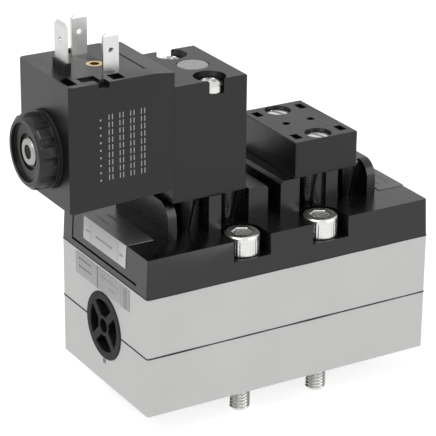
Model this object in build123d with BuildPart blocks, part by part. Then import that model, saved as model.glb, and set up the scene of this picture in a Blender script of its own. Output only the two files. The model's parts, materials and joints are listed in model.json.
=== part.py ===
from build123d import *
import os
from math import cos, pi, sin, tan

# Directional control valve, in millimetres. Two cast halves, split on the spool's axis, carry a moulded
# cover with two fluted pads. One pad has the solenoid pilot, the other a blanking block.
# Origin: centre of the underside, in the middle of the four screws. +X runs away from the coil, +Z is up.

# Cast body
body_length = 91.6
body_width = 50.0
lower_height = 17.35
upper_height = 17.35
body_gasket_thickness = 0.3
cover_gasket_thickness = 0.3
body_edge_round = 0.8

# Through screws, M6 socket head
screw_pitch_x = 25.5
screw_pitch_y = 38.0
screw_r = 3.0
screw_head_r = 5.0
screw_head_height = 6.0
screw_socket_across = 5.0
screw_socket_depth = 3.2
screw_reach = 7.8
screw_thread_r = 2.95
screw_shank_r = 2.7
screw_tip_chamfer = 0.7
screw_hole_gap = 0.25
screw_slot_gap = 0.9

# Bore for the spool, on the seam
cartridge_r = 8.5
chamber_r = 8.0
chamber_length = 13.05
port_count = 5
port_pitch = 11.0
port_width = 6.5
port_breadth = 12.0
seal_width = 2.5
spacer_wall = 2.4
spacer_window = 5.0
spacer_slack = 0.05
running_gap = 0.02
pilot_passage_r = 1.3

# Spool and its drive
land_r = 5.0
neck_r = 3.4
spool_stroke = 5.0
end_gap = 0.2
piston_thickness = 4.0
piston_slack = 0.07
piston_seal_width = 1.7
piston_seal_depth = 1.6
cup_r = 5.6
cup_thickness = 1.2
cup_pin_r = 3.2
cup_pin_length = 2.0
return_coil_r = 4.2
return_wire_r = 0.42
return_turns = 4

# End plugs
plug_r = 10.0
plug_head = 4.0
plug_proud = 0.3
plug_spigot = 3.5
plug_slack = 0.05
plug_rim = 2.4
plug_hub_r = 3.1
plug_hub_hole_r = 2.0
plug_spoke_width = 2.4
plug_recess = 2.9
plug_pocket_r = 5.0
plug_pocket_depth = 3.6
plug_seal_width = 1.7
plug_seal_depth = 1.5
pry_notch_drop = 1.0
pry_notch_width = 1.7
pry_notch_height = 1.5
pry_notch_depth = 0.9

# Seal plate in the underside
plate_length = 80.0
plate_width = 22.0
plate_thickness = 1.5
plate_recess = 1.2
plate_corner = 4.0
plate_gap = 0.15
plate_lip = 0.7

# Cover and its pads
cover_height = 11.0
cover_draft = 3.0
pad_height = 10.3
pad_reach = 33.8
pad_half_width = 15.0
pad_core_half_width = 10.5
pad_gap = 4.2
pad_plate = 2.7
pad_plate_round = 5.0
pad_rib_inner = 17.1
pad_rib_width = 3.9
pad_post = 6.2
pad_post_chamfer = 0.9
pad_cone_outer_x = 26.4
pad_cone_inner_x = 13.2
pad_cone_top_r = 3.6
pad_cone_foot_r = 1.7
pad_cone_setback = 0.9
pad_pillar_r = 3.0
air_groove_depth = 1.6
end_groove = 0.7
end_groove_lift = 1.55
end_groove_half = 18.8

# Labels, thin folded sheet
label_thickness = 0.2
label_front = 12.6
label_back = 12.0
label_drop = 6.6
label_pad_gap = 3.2
body_label_front = 15.0
body_label_back = 16.4
body_label_height = 6.4
body_label_lift = 27.8

# Interface of the two pads
interface_gasket = 0.4
interface_screw_y = 10.6
interface_screw_r = 2.0
interface_screw_gap = 0.15
interface_screw_grip = 8.5
interface_port_x = 4.1
interface_port_r = 1.1
pilot_axis_x = -18.6
blank_axis_x = 16.8

# Pilot block
pilot_left = 31.8
pilot_length = 22.9
pilot_half_width = 14.5
pilot_height = 32.6
pilot_cutout_r = 4.5
pilot_cutout_depth = 4.0
pan_head_r = 3.5
pan_head_height = 2.6
pan_head_crown = 1.0
pan_cross_length = 4.2
pan_cross_width = 0.9
pan_cross_depth = 1.2

# Manual override button
button_x = -17.7
button_r = 4.45
button_thickness = 2.5
button_gap = 0.05
button_travel = 1.5
button_stem_r = 1.8
button_stem_length = 7.2
button_well_r = 3.5
button_well_depth = 3.0
button_seal_width = 1.2
button_seal_wall = 1.0
button_coil_r = 2.6
button_wire_r = 0.3
button_turns = 3

# Solenoid
axis_z = 73.4
tube_r = 5.0
tube_wall = 0.7
tube_collar_r = 6.5
tube_collar = 3.0
tube_reach = 7.8
chamber_depth = 9.8
nozzle_r = 3.5
nozzle_length = 4.0
nozzle_nose_r = 1.3
nozzle_nose = 1.2
nozzle_hole_r = 0.6
armature_length = 27.3
armature_gap = 0.05
armature_stroke = 0.8
armature_bore_r = 2.1
armature_bore_depth = 6.0
armature_seat_r = 2.2
armature_seat_thickness = 1.5
armature_coil_r = 1.6
armature_wire_r = 0.25
armature_turns = 4
stem_r = 3.9
stem_length = 5.1
stem_socket_r = 2.0
stem_socket_depth = 2.4
core_fit = 0.01

# Coil
coil_length = 31.0
coil_half_width = 15.0
coil_left_bottom = 59.5
coil_right_bottom = 60.9
coil_left_top = 94.7
coil_right_top = 94.0
coil_bore_gap = 0.05
coil_edge = 0.9
bobbin_wall = 1.2
bobbin_flange = 1.3
winding_r = 11.0
yoke_plate = 2.0
yoke_half_width = 11.2
yoke_top = 13.2
yoke_bottom = 11.2
coil_skin = 1.2
coil_seal_thickness = 0.8
coil_seal_r = 10.7
coil_seal_hole_r = 5.6

# Plug contacts on the coil's top
contact_inset = 15.1
contact_spacing = 18.0
contact_width = 4.6
contact_thickness = 0.8
contact_height = 11.4
contact_root = 4.0
contact_tip = 1.2
contact_bevel_rise = 1.1
contact_hole_r = 0.75
contact_hole_drop = 5.0
ground_inset = 5.4
ground_width = 6.3
ground_height = 13.2
ground_shoulder = 2.6
ground_shoulder_wall = 0.5
insert_r = 2.3
insert_thread_r = 1.25
insert_length = 6.0
insert_hole_depth = 5.0
seat_line_inset = 25.2
seat_pocket_inset = 2.0
seat_pocket_length = 2.8
seat_pocket_width = 6.4
seat_pocket_depth = 3.0
seat_channel_inset = 7.6
seat_channel_length = 5.0
seat_channel_width = 3.6
seat_channel_depth = 0.8
seat_corner_inset = 10.0
seat_corner_length = 3.2
seat_corner_width = 2.8
seat_corner_depth = 1.6
blade_pocket_length = 3.6
blade_pocket_width = 4.2
blade_pocket_depth = 1.2
seat_line_width = 0.45
seat_line_depth = 0.3

# Ring nut
nut_flange_r = 10.9
nut_flange = 0.8
nut_grip_r = 10.3
nut_grip = 3.4
nut_chamfer = 1.1
nut_face_r = 9.1
nut_flutes = 12
nut_flute_r = 1.5
nut_flute_depth = 0.75
nut_rim = 1.0
nut_recess = 1.1
nut_hub_r = 5.0
nut_hub_recess = 0.9

# Blanking block
blank_left = 6.8
blank_length = 20.5
blank_half_width = 14.9
blank_height = 10.0
cheese_head_r = 3.5
cheese_head_height = 2.6
cheese_slot_width = 1.0
cheese_slot_depth = 1.1
cheese_bore_r = 3.8
cheese_bore_depth = 3.6
corner_slot_x = 7.3
corner_slot_y = 10.3
corner_slot_length = 3.7
corner_slot_width = 2.3
corner_slot_depth = 3.0
top_hole_r = 1.1
top_hole_depth = 4.0

# Heights and places that follow from the sizes above
seam_z = lower_height + body_gasket_thickness / 2
upper_bottom_z = lower_height + body_gasket_thickness
upper_top_z = upper_bottom_z + upper_height
cover_bottom_z = upper_top_z + cover_gasket_thickness
cover_top_z = cover_bottom_z + cover_height
pad_top_z = cover_top_z + pad_height
block_bottom_z = pad_top_z + interface_gasket
pilot_top_z = block_bottom_z + pilot_height
blank_top_z = block_bottom_z + blank_height
half_length = body_length / 2
half_width = body_width / 2
screw_head_z = cover_top_z - screw_head_height
screw_slot_r = screw_head_r + screw_slot_gap
screw_hole_r = screw_r + screw_hole_gap
cartridge_half = port_count * port_pitch / 2 + seal_width / 2
plug_shoulder = half_length - plug_head
plug_inner = plug_shoulder - plug_spigot
pad_mid_x = (pad_gap / 2 + pad_reach) / 2
pilot_right = pilot_left - pilot_length
tube_inner_r = tube_r - tube_wall
coil_left = pilot_left + coil_length
coil_bore_r = tube_r + coil_bore_gap
contact_x = -coil_left + contact_inset
ground_x = -coil_left + ground_inset
seat_line_x = -coil_left + seat_line_inset
nozzle_x = -pilot_left + chamber_depth
armature_right = nozzle_x - nozzle_nose
armature_left = armature_right - armature_length
core_right = armature_left - armature_stroke - core_fit * 10
blank_mid_x = blank_left + blank_length / 2

os.makedirs("parts", exist_ok=True)

SCREW_SPOTS = GridLocations(screw_pitch_x, screw_pitch_y, 2, 2)


def write(piece, name):
    """Labels one finished piece and writes it to its own file."""
    piece.label = name
    export_step(piece, f"parts/{name}.step")


def across(x):
    """Plane square to the X axis, with Y to the right and Z up, at a given X."""
    return Plane.YZ.offset(x)


def coil_spring(axis_plane, length, coil_r, wire_r, turns):
    """Wire on a helix, standing on a plane and as long as the gap that it fills."""
    pitch = (length - 2 * wire_r) / turns
    start = axis_plane.offset(wire_r)
    path = start * Helix(pitch=pitch, height=pitch * turns, radius=coil_r)
    with BuildPart() as spring:
        with BuildSketch(Plane(origin=path @ 0, z_dir=path % 0)):
            RegularPolygon(radius=wire_r, side_count=4)
        sweep(path=path, is_frenet=True)
    return spring.part


# Lower half: ports in the underside, half of the bore on top
with BuildPart() as lower_body:
    with BuildSketch(Plane.XY):
        RectangleRounded(body_length, body_width, body_edge_round)
    extrude(amount=lower_height)
    with BuildSketch(across(-cartridge_half)):
        with Locations((0, seam_z)):
            Circle(cartridge_r)
    extrude(amount=2 * cartridge_half, mode=Mode.SUBTRACT)
    with BuildSketch(across(-half_length)):
        with Locations((0, seam_z)):
            Circle(chamber_r)
    extrude(amount=body_length, mode=Mode.SUBTRACT)
    for end_x in (-half_length, plug_shoulder):
        with BuildSketch(across(end_x)):
            with Locations((0, seam_z)):
                Circle(plug_r)
        extrude(amount=plug_head, mode=Mode.SUBTRACT)
    with BuildSketch(Plane.XY):
        RectangleRounded(plate_length, plate_width, plate_corner)
    extrude(amount=plate_recess, mode=Mode.SUBTRACT)
    with BuildSketch(Plane.XY):
        with GridLocations(port_pitch, 0, port_count, 1):
            Rectangle(port_width, port_breadth)
        with GridLocations(2 * (cartridge_half + chamber_length / 2), 0, 2, 1):
            Circle(pilot_passage_r)
    extrude(amount=seam_z, mode=Mode.SUBTRACT)
    with BuildSketch(across(-half_length)):
        with Locations((0, seam_z - plug_r - pry_notch_drop)):
            Rectangle(pry_notch_width, pry_notch_height)
    extrude(amount=pry_notch_depth, mode=Mode.SUBTRACT)
    with BuildSketch(Plane.XY):
        with SCREW_SPOTS:
            Circle(screw_hole_r)
    extrude(amount=lower_height, mode=Mode.SUBTRACT)
write(lower_body.part, "lower_body")

# Upper half: the other half of the bore, with air passages up to the cover
with BuildPart() as upper_body:
    with BuildSketch(Plane.XY.offset(upper_bottom_z)):
        RectangleRounded(body_length, body_width, body_edge_round)
    extrude(amount=upper_height)
    with BuildSketch(across(-cartridge_half)):
        with Locations((0, seam_z)):
            Circle(cartridge_r)
    extrude(amount=2 * cartridge_half, mode=Mode.SUBTRACT)
    with BuildSketch(across(-half_length)):
        with Locations((0, seam_z)):
            Circle(chamber_r)
    extrude(amount=body_length, mode=Mode.SUBTRACT)
    for end_x in (-half_length, plug_shoulder):
        with BuildSketch(across(end_x)):
            with Locations((0, seam_z)):
                Circle(plug_r)
        extrude(amount=plug_head, mode=Mode.SUBTRACT)
    with BuildSketch(Plane.XY.offset(seam_z)):
        with GridLocations(cartridge_half + chamber_length / 2, 0, 3, 1):
            Circle(pilot_passage_r)
    extrude(amount=upper_top_z - seam_z, mode=Mode.SUBTRACT)
    with BuildSketch(Plane.XY.offset(upper_bottom_z)):
        with SCREW_SPOTS:
            Circle(screw_hole_r)
    extrude(amount=upper_height, mode=Mode.SUBTRACT)
write(upper_body.part, "upper_body")

# Seam gasket: two strips beside the bore
with BuildPart() as body_gasket:
    with BuildSketch(Plane.XY.offset(lower_height)):
        RectangleRounded(body_length, body_width, body_edge_round)
        Rectangle(body_length, 2 * chamber_r, mode=Mode.SUBTRACT)
        Rectangle(2 * cartridge_half, 2 * cartridge_r, mode=Mode.SUBTRACT)
        with GridLocations(half_length + plug_shoulder, 0, 2, 1):
            Rectangle(plug_head, 2 * plug_r, mode=Mode.SUBTRACT)
        with SCREW_SPOTS:
            Circle(screw_hole_r, mode=Mode.SUBTRACT)
    extrude(amount=body_gasket_thickness)
write(body_gasket.part, "body_gasket")

with BuildPart() as cover_gasket:
    with BuildSketch(Plane.XY.offset(upper_top_z)):
        RectangleRounded(body_length, body_width, body_edge_round)
        with SCREW_SPOTS:
            Circle(screw_hole_r, mode=Mode.SUBTRACT)
        with GridLocations(cartridge_half + chamber_length / 2, 0, 3, 1):
            Circle(pilot_passage_r, mode=Mode.SUBTRACT)
    extrude(amount=cover_gasket_thickness)
write(cover_gasket.part, "cover_gasket")

# Rubber plate in the underside, with a raised field round the ports
with BuildPart() as base_seal:
    with BuildSketch(Plane.XY.offset(plate_recess)):
        RectangleRounded(plate_length - 2 * plate_gap, plate_width - 2 * plate_gap, plate_corner - plate_gap)
    extrude(amount=-plate_recess)
    with BuildSketch(Plane.XY):
        Rectangle((port_count - 1) * port_pitch + port_width + 2 * plate_lip, port_breadth + 2 * plate_lip)
    extrude(amount=plate_recess - plate_thickness)
    with BuildSketch(Plane.XY.offset(plate_recess)):
        with GridLocations(port_pitch, 0, port_count, 1):
            Rectangle(port_width, port_breadth)
        with GridLocations(2 * (cartridge_half + chamber_length / 2), 0, 2, 1):
            Circle(pilot_passage_r)
    extrude(amount=-plate_thickness, mode=Mode.SUBTRACT)
write(base_seal.part, "base_seal")

# End plug: a wheel of rim, spokes and hub outside, a spring pocket inside
with BuildPart() as left_end_plug:
    with BuildSketch(across(-half_length - plug_proud)):
        with Locations((0, seam_z)):
            Circle(plug_r - plug_slack)
    extrude(amount=plug_proud + plug_head)
    with BuildSketch(across(-plug_shoulder)):
        with Locations((0, seam_z)):
            Circle(chamber_r - plug_slack)
    extrude(amount=plug_spigot)
    with BuildSketch(across(-half_length - plug_proud)):
        with Locations((0, seam_z)):
            Circle(plug_r - plug_rim)
            Circle(plug_hub_r, mode=Mode.SUBTRACT)
            for spoke_angle in (45, 135):
                Rectangle(2 * plug_r, plug_spoke_width, rotation=spoke_angle, mode=Mode.SUBTRACT)
    extrude(amount=plug_recess, mode=Mode.SUBTRACT)
    with BuildSketch(across(-half_length - plug_proud)):
        with Locations((0, seam_z)):
            Circle(plug_hub_hole_r)
    extrude(amount=plug_recess, mode=Mode.SUBTRACT)
    with BuildSketch(across(-plug_inner)):
        with Locations((0, seam_z)):
            Circle(plug_pocket_r)
    extrude(amount=-plug_pocket_depth, mode=Mode.SUBTRACT)
    with BuildSketch(across(-plug_shoulder + (plug_spigot - plug_seal_width) / 2)):
        with Locations((0, seam_z)):
            Circle(chamber_r)
            Circle(chamber_r - plug_seal_depth, mode=Mode.SUBTRACT)
    extrude(amount=plug_seal_width, mode=Mode.SUBTRACT)
write(left_end_plug.part, "left_end_plug")

with BuildPart() as right_end_plug:
    mirror(left_end_plug.part, about=Plane.YZ)
write(right_end_plug.part, "right_end_plug")

with BuildPart() as end_plug_seals:
    with BuildSketch(across(-plug_shoulder + (plug_spigot - plug_seal_width) / 2)):
        with Locations((0, seam_z)):
            Circle(chamber_r)
            Circle(chamber_r - plug_seal_depth, mode=Mode.SUBTRACT)
    extrude(amount=plug_seal_width)
    mirror(about=Plane.YZ)
write(end_plug_seals.part, "end_plug_seals")

# Seals and cages that the spool runs in
with BuildPart() as bore_seals:
    for index in range(port_count + 1):
        with BuildSketch(across(-cartridge_half + index * port_pitch)):
            with Locations((0, seam_z)):
                Circle(cartridge_r)
                Circle(land_r + running_gap, mode=Mode.SUBTRACT)
        extrude(amount=seal_width)
write(bore_seals.part, "bore_seals")

with BuildPart() as bore_spacers:
    for index in range(port_count):
        with BuildSketch(across(-cartridge_half + seal_width + index * port_pitch)):
            with Locations((0, seam_z)):
                Circle(cartridge_r - spacer_slack)
                Circle(cartridge_r - spacer_slack - spacer_wall, mode=Mode.SUBTRACT)
        extrude(amount=port_pitch - seal_width)
    with BuildSketch(Plane.XY.offset(seam_z)):
        with GridLocations(port_pitch, 0, port_count, 1):
            Rectangle(spacer_window, spacer_window)
    extrude(amount=cartridge_r, both=True, mode=Mode.SUBTRACT)
write(bore_spacers.part, "bore_spacers")

# Spool at rest: ports 1 to 2 and 4 to 5 are joined by its two necks
spool_left = -plug_inner + end_gap + piston_thickness
spool_right = cartridge_half + 0.75
neck_length = port_pitch - 0.5
neck_starts = (-2 * port_pitch + 3.0, 3.0)

with BuildPart() as spool:
    with BuildSketch(across(spool_left)):
        with Locations((0, seam_z)):
            Circle(land_r)
    extrude(amount=spool_right - spool_left)
    for neck_start in neck_starts:
        with BuildSketch(across(neck_start)):
            with Locations((0, seam_z)):
                Circle(land_r)
                Circle(neck_r, mode=Mode.SUBTRACT)
        extrude(amount=neck_length, mode=Mode.SUBTRACT)
write(spool.part, "spool")

piston_seal_x = spool_left - (piston_thickness + piston_seal_width) / 2

with BuildPart() as pilot_piston:
    with BuildSketch(across(spool_left - piston_thickness)):
        with Locations((0, seam_z)):
            Circle(chamber_r - piston_slack)
    extrude(amount=piston_thickness)
    with BuildSketch(across(piston_seal_x)):
        with Locations((0, seam_z)):
            Circle(chamber_r)
            Circle(chamber_r - piston_seal_depth, mode=Mode.SUBTRACT)
    extrude(amount=piston_seal_width, mode=Mode.SUBTRACT)
write(pilot_piston.part, "pilot_piston")

with BuildPart() as piston_seal:
    with BuildSketch(across(piston_seal_x)):
        with Locations((0, seam_z)):
            Circle(chamber_r - running_gap)
            Circle(chamber_r - piston_seal_depth, mode=Mode.SUBTRACT)
    extrude(amount=piston_seal_width)
write(piston_seal.part, "piston_seal")

with BuildPart() as spring_cup:
    with BuildSketch(across(spool_right)):
        with Locations((0, seam_z)):
            Circle(cup_r)
    extrude(amount=cup_thickness)
    with BuildSketch(across(spool_right + cup_thickness)):
        with Locations((0, seam_z)):
            Circle(cup_pin_r)
    extrude(amount=cup_pin_length)
write(spring_cup.part, "spring_cup")

cup_face_x = spool_right + cup_thickness
return_spring = coil_spring(
    Plane(origin=(cup_face_x, 0, seam_z), z_dir=(1, 0, 0)),
    plug_inner + plug_pocket_depth - cup_face_x,
    return_coil_r,
    return_wire_r,
    return_turns,
)
write(return_spring, "return_spring")

# Screws that hold the valve together and on its subplate
with BuildPart() as body_screws:
    with BuildSketch(Plane.XY.offset(-screw_reach)):
        with SCREW_SPOTS:
            Circle(screw_thread_r)
    extrude(amount=screw_reach)
    chamfer(faces().group_by(Axis.Z)[0].edges(), length=screw_tip_chamfer)
    with BuildSketch(Plane.XY):
        with SCREW_SPOTS:
            Circle(screw_shank_r)
    extrude(amount=screw_head_z)
    with BuildSketch(Plane.XY.offset(screw_head_z)):
        with SCREW_SPOTS:
            Circle(screw_head_r)
    extrude(amount=screw_head_height)
    chamfer(faces().group_by(Axis.Z)[-1].edges(), length=0.5)
    with BuildSketch(Plane.XY.offset(screw_head_z + screw_head_height)):
        with SCREW_SPOTS:
            RegularPolygon(radius=screw_socket_across / 2, side_count=6, major_radius=False)
    extrude(amount=-screw_socket_depth, mode=Mode.SUBTRACT)
write(body_screws.part, "body_screws")

# One pad of the cover, on the +X side: end plate, core, rib, inner post and half-round cones
with BuildPart() as pad:
    with BuildSketch(Plane.XY.offset(cover_top_z)):
        with Locations((pad_mid_x, 0)):
            Rectangle(pad_reach - pad_gap / 2, 2 * pad_core_half_width)
        with Locations((pad_rib_inner + pad_rib_width / 2, 0)):
            Rectangle(pad_rib_width, 2 * pad_half_width)
    extrude(amount=pad_height)
    with BuildSketch(Plane.XY.offset(cover_top_z)):
        with Locations((pad_gap / 2 + pad_post / 2, 0)):
            Rectangle(pad_post, 2 * pad_half_width)
    extrude(amount=pad_height)
    post_top = faces().filter_by(Axis.Z).sort_by(Axis.Z)[-1].edges()
    inner_edge = post_top.filter_by(Axis.Y).sort_by(Axis.X)[0]
    chamfer(inner_edge, length=pad_post_chamfer)
    with BuildSketch(across(pad_reach - pad_plate)):
        with Locations((0, cover_top_z + pad_height / 2)):
            Rectangle(2 * pad_half_width, pad_height)
        fillet(vertices().group_by(Axis.Y)[-1], radius=pad_plate_round)
    extrude(amount=pad_plate)
    for cone_x in (pad_cone_outer_x, pad_cone_inner_x):
        for side in (-1, 1):
            cone_y = side * (pad_half_width - pad_cone_setback - pad_cone_top_r)
            with Locations((cone_x, cone_y, cover_top_z + pad_height / 2)):
                Cone(pad_cone_foot_r, pad_cone_top_r, pad_height)

air_hole_left = pilot_axis_x - interface_port_x
air_hole_mid_left = pilot_axis_x + interface_port_x
air_hole_mid_right = blank_axis_x - interface_port_x
air_hole_right = blank_axis_x + interface_port_x
chamber_hole_x = cartridge_half + chamber_length / 2

with BuildPart() as cover:
    with BuildSketch(Plane.XY.offset(cover_bottom_z)):
        RectangleRounded(body_length, body_width, body_edge_round)
    extrude(amount=cover_height, taper=cover_draft)
    with BuildSketch(Plane.XY.offset(screw_head_z)):
        with SCREW_SPOTS:
            Circle(screw_slot_r)
        for side in (-1, 1):
            with GridLocations(screw_pitch_x, 0, 2, 1):
                with Locations((0, side * (screw_pitch_y + body_width) / 4)):
                    Rectangle(2 * screw_slot_r, (body_width - screw_pitch_y) / 2)
    extrude(amount=screw_head_height, mode=Mode.SUBTRACT)
    add(pad.part)
    mirror(pad.part, about=Plane.YZ)
    with BuildSketch(Plane.XY.offset(cover_top_z)):
        for screw_x in (pilot_axis_x, blank_axis_x):
            with Locations((screw_x, 0)):
                with GridLocations(0, 2 * interface_screw_y, 1, 2):
                    Circle(pad_pillar_r)
    extrude(amount=pad_height)
    with BuildSketch(Plane.XY.offset(pad_top_z)):
        for screw_x in (pilot_axis_x, blank_axis_x):
            with Locations((screw_x, 0)):
                with GridLocations(0, 2 * interface_screw_y, 1, 2):
                    Circle(interface_screw_r + running_gap)
    extrude(amount=-interface_screw_grip, mode=Mode.SUBTRACT)
    with BuildSketch(Plane.XY.offset(cover_bottom_z)):
        with SCREW_SPOTS:
            Circle(screw_hole_r)
    extrude(amount=cover_height, mode=Mode.SUBTRACT)
    with BuildSketch(Plane.XY.offset(cover_bottom_z)):
        for air_x in (air_hole_left, air_hole_mid_left, air_hole_mid_right, air_hole_right):
            with Locations((air_x, 0)):
                Circle(interface_port_r)
    extrude(amount=pad_top_z - cover_bottom_z, mode=Mode.SUBTRACT)
    with BuildSketch(Plane.XY.offset(cover_bottom_z)):
        for start_x, end_x in (
            (-chamber_hole_x, air_hole_left),
            (air_hole_mid_left, air_hole_mid_right),
            (air_hole_right, chamber_hole_x),
        ):
            with Locations(((start_x + end_x) / 2, 0)):
                Rectangle(end_x - start_x + 2 * interface_port_r, 2 * interface_port_r)
    extrude(amount=air_groove_depth, mode=Mode.SUBTRACT)
    for side in (-1, 1):
        with BuildSketch(Plane.XY.offset(cover_bottom_z + end_groove_lift)):
            with Locations((side * half_length, 0)):
                Rectangle(2 * end_groove, 2 * end_groove_half)
        extrude(amount=end_groove, mode=Mode.SUBTRACT)
        with BuildSketch(Plane.XY.offset(cover_bottom_z + end_groove_lift)):
            with Locations((side * half_length, end_groove_half)):
                Rectangle(3 * end_groove, end_groove)
        extrude(amount=cover_height - end_groove_lift, mode=Mode.SUBTRACT)
write(cover.part, "cover")

# Labels on the cover's ends: a drop down the drafted end, folded onto the top
draft_slope = tan(cover_draft * pi / 180)


def end_face_x(z):
    """X of the cover's drafted end face at a height."""
    return half_length - (z - cover_bottom_z) * draft_slope


with BuildPart() as right_cover_label:
    with BuildSketch(Plane.XZ.offset(label_front)):
        with BuildLine():
            top_x = end_face_x(cover_top_z)
            run_x = pad_reach + label_pad_gap
            drop_x = end_face_x(cover_top_z - label_drop)
            Polyline(
                (run_x, cover_top_z),
                (top_x, cover_top_z),
                (drop_x, cover_top_z - label_drop),
                (drop_x + label_thickness, cover_top_z - label_drop),
                (top_x + label_thickness, cover_top_z + label_thickness),
                (run_x, cover_top_z + label_thickness),
                close=True,
            )
        make_face()
    extrude(amount=-(label_front + label_back))
write(right_cover_label.part, "right_cover_label")

with BuildPart() as left_cover_label:
    mirror(right_cover_label.part, about=Plane.YZ)
write(left_cover_label.part, "left_cover_label")

with BuildPart() as body_label:
    with BuildSketch(across(-half_length)):
        with Locations(((body_label_back - body_label_front) / 2, body_label_lift + body_label_height / 2)):
            Rectangle(body_label_back + body_label_front, body_label_height)
    extrude(amount=-label_thickness)
    with BuildSketch(across(-half_length)):
        with Locations((0, seam_z)):
            Circle(plug_r + 0.3)
    extrude(amount=-label_thickness, mode=Mode.SUBTRACT)
write(body_label.part, "body_label")

# Pilot side
with BuildPart() as pilot_gasket:
    with BuildSketch(Plane.XY.offset(pad_top_z)):
        with Locations((-(pilot_left + pilot_right) / 2, 0)):
            Rectangle(pilot_length, 2 * pilot_half_width)
        with Locations((pilot_axis_x, 0)):
            with GridLocations(0, 2 * interface_screw_y, 1, 2):
                Circle(interface_screw_r + interface_screw_gap, mode=Mode.SUBTRACT)
            with GridLocations(2 * interface_port_x, 0, 2, 1):
                Circle(interface_port_r, mode=Mode.SUBTRACT)
    extrude(amount=interface_gasket)
write(pilot_gasket.part, "pilot_gasket")

button_floor_z = pilot_top_z - button_thickness - button_travel - 0.1
button_well_z = button_floor_z - button_well_depth
button_seal_z = button_well_z - 1.0 - button_seal_width
button_stem_bottom = pilot_top_z - button_thickness - button_stem_length

with BuildPart() as pilot_block:
    with BuildSketch(Plane.XY.offset(block_bottom_z)):
        with Locations((-(pilot_left + pilot_right) / 2, 0)):
            RectangleRounded(pilot_length, 2 * pilot_half_width, 0.5)
    extrude(amount=pilot_height)
    chamfer(faces().sort_by(Axis.Z)[-1].edges().filter_by(GeomType.LINE), length=0.3)
    with BuildSketch(Plane.XY.offset(pilot_top_z)):
        with Locations((pilot_axis_x, 0)):
            with GridLocations(0, 2 * interface_screw_y, 1, 2):
                Circle(pilot_cutout_r)
    extrude(amount=-pilot_cutout_depth, mode=Mode.SUBTRACT)
    with BuildSketch(Plane.XY.offset(block_bottom_z)):
        with Locations((pilot_axis_x, 0)):
            with GridLocations(0, 2 * interface_screw_y, 1, 2):
                Circle(interface_screw_r + interface_screw_gap)
    extrude(amount=pilot_height, mode=Mode.SUBTRACT)
    with BuildSketch(across(-pilot_left)):
        with Locations((0, axis_z)):
            Circle(tube_collar_r + running_gap)
    extrude(amount=tube_collar, mode=Mode.SUBTRACT)
    with BuildSketch(across(-pilot_left)):
        with Locations((0, axis_z)):
            Circle(coil_bore_r)
    extrude(amount=chamber_depth, mode=Mode.SUBTRACT)
    with BuildSketch(across(-pilot_left)):
        with Locations((0, axis_z)):
            Circle(nozzle_r)
    extrude(amount=chamber_depth + nozzle_length, mode=Mode.SUBTRACT)
    with BuildSketch(Plane.XY.offset(block_bottom_z)):
        with Locations((air_hole_left, 0)):
            Circle(interface_port_r)
        with Locations((air_hole_mid_left, 0)):
            Circle(interface_port_r)
    extrude(amount=axis_z - block_bottom_z, mode=Mode.SUBTRACT)
    with BuildSketch(across(nozzle_x)):
        with Locations((0, axis_z)):
            Circle(interface_port_r)
    extrude(amount=air_hole_mid_left - nozzle_x, mode=Mode.SUBTRACT)
    for bottom_z, radius in (
        (button_floor_z, button_r + button_gap),
        (button_well_z, button_well_r),
        (button_stem_bottom - button_travel - 0.2, button_stem_r + button_gap),
    ):
        with BuildSketch(Plane.XY.offset(bottom_z)):
            with Locations((button_x, 0)):
                Circle(radius)
        extrude(amount=pilot_top_z - bottom_z, mode=Mode.SUBTRACT)
    with BuildSketch(Plane.XY.offset(button_seal_z)):
        with Locations((button_x, 0)):
            Circle(button_stem_r + button_seal_wall)
    extrude(amount=button_seal_width, mode=Mode.SUBTRACT)
write(pilot_block.part, "pilot_block")

pan_seat_z = pilot_top_z - pilot_cutout_depth

with BuildPart() as pilot_screws:
    with BuildSketch(Plane.XY.offset(pad_top_z - interface_screw_grip)):
        with Locations((pilot_axis_x, 0)):
            with GridLocations(0, 2 * interface_screw_y, 1, 2):
                Circle(interface_screw_r)
    extrude(amount=pan_seat_z - pad_top_z + interface_screw_grip)
    with BuildSketch(Plane.XY.offset(pan_seat_z)):
        with Locations((pilot_axis_x, 0)):
            with GridLocations(0, 2 * interface_screw_y, 1, 2):
                Circle(pan_head_r)
    extrude(amount=pan_head_height)
    chamfer(faces().group_by(Axis.Z)[-1].edges(), length=pan_head_crown)
    with BuildSketch(Plane.XY.offset(pan_seat_z + pan_head_height)):
        with Locations((pilot_axis_x, 0)):
            with GridLocations(0, 2 * interface_screw_y, 1, 2):
                Rectangle(pan_cross_length, pan_cross_width, rotation=30)
                Rectangle(pan_cross_length, pan_cross_width, rotation=120)
    extrude(amount=-pan_cross_depth, mode=Mode.SUBTRACT)
write(pilot_screws.part, "pilot_screws")

with BuildPart() as manual_override:
    with BuildSketch(Plane.XY.offset(pilot_top_z)):
        with Locations((button_x, 0)):
            Circle(button_r)
    extrude(amount=-button_thickness)
    chamfer(faces().sort_by(Axis.Z)[-1].edges(), length=0.3)
    with BuildSketch(Plane.XY.offset(pilot_top_z - button_thickness)):
        with Locations((button_x, 0)):
            Circle(button_stem_r)
    extrude(amount=-button_stem_length)
write(manual_override.part, "manual_override")

with BuildPart() as override_seal:
    with BuildSketch(Plane.XY.offset(button_seal_z)):
        with Locations((button_x, 0)):
            Circle(button_stem_r + button_seal_wall)
            Circle(button_stem_r + running_gap, mode=Mode.SUBTRACT)
    extrude(amount=button_seal_width)
write(override_seal.part, "override_seal")

override_spring = coil_spring(
    Plane(origin=(button_x, 0, button_well_z), z_dir=(0, 0, 1)),
    pilot_top_z - button_thickness - button_well_z,
    button_coil_r,
    button_wire_r,
    button_turns,
)
write(override_spring, "override_spring")

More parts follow.
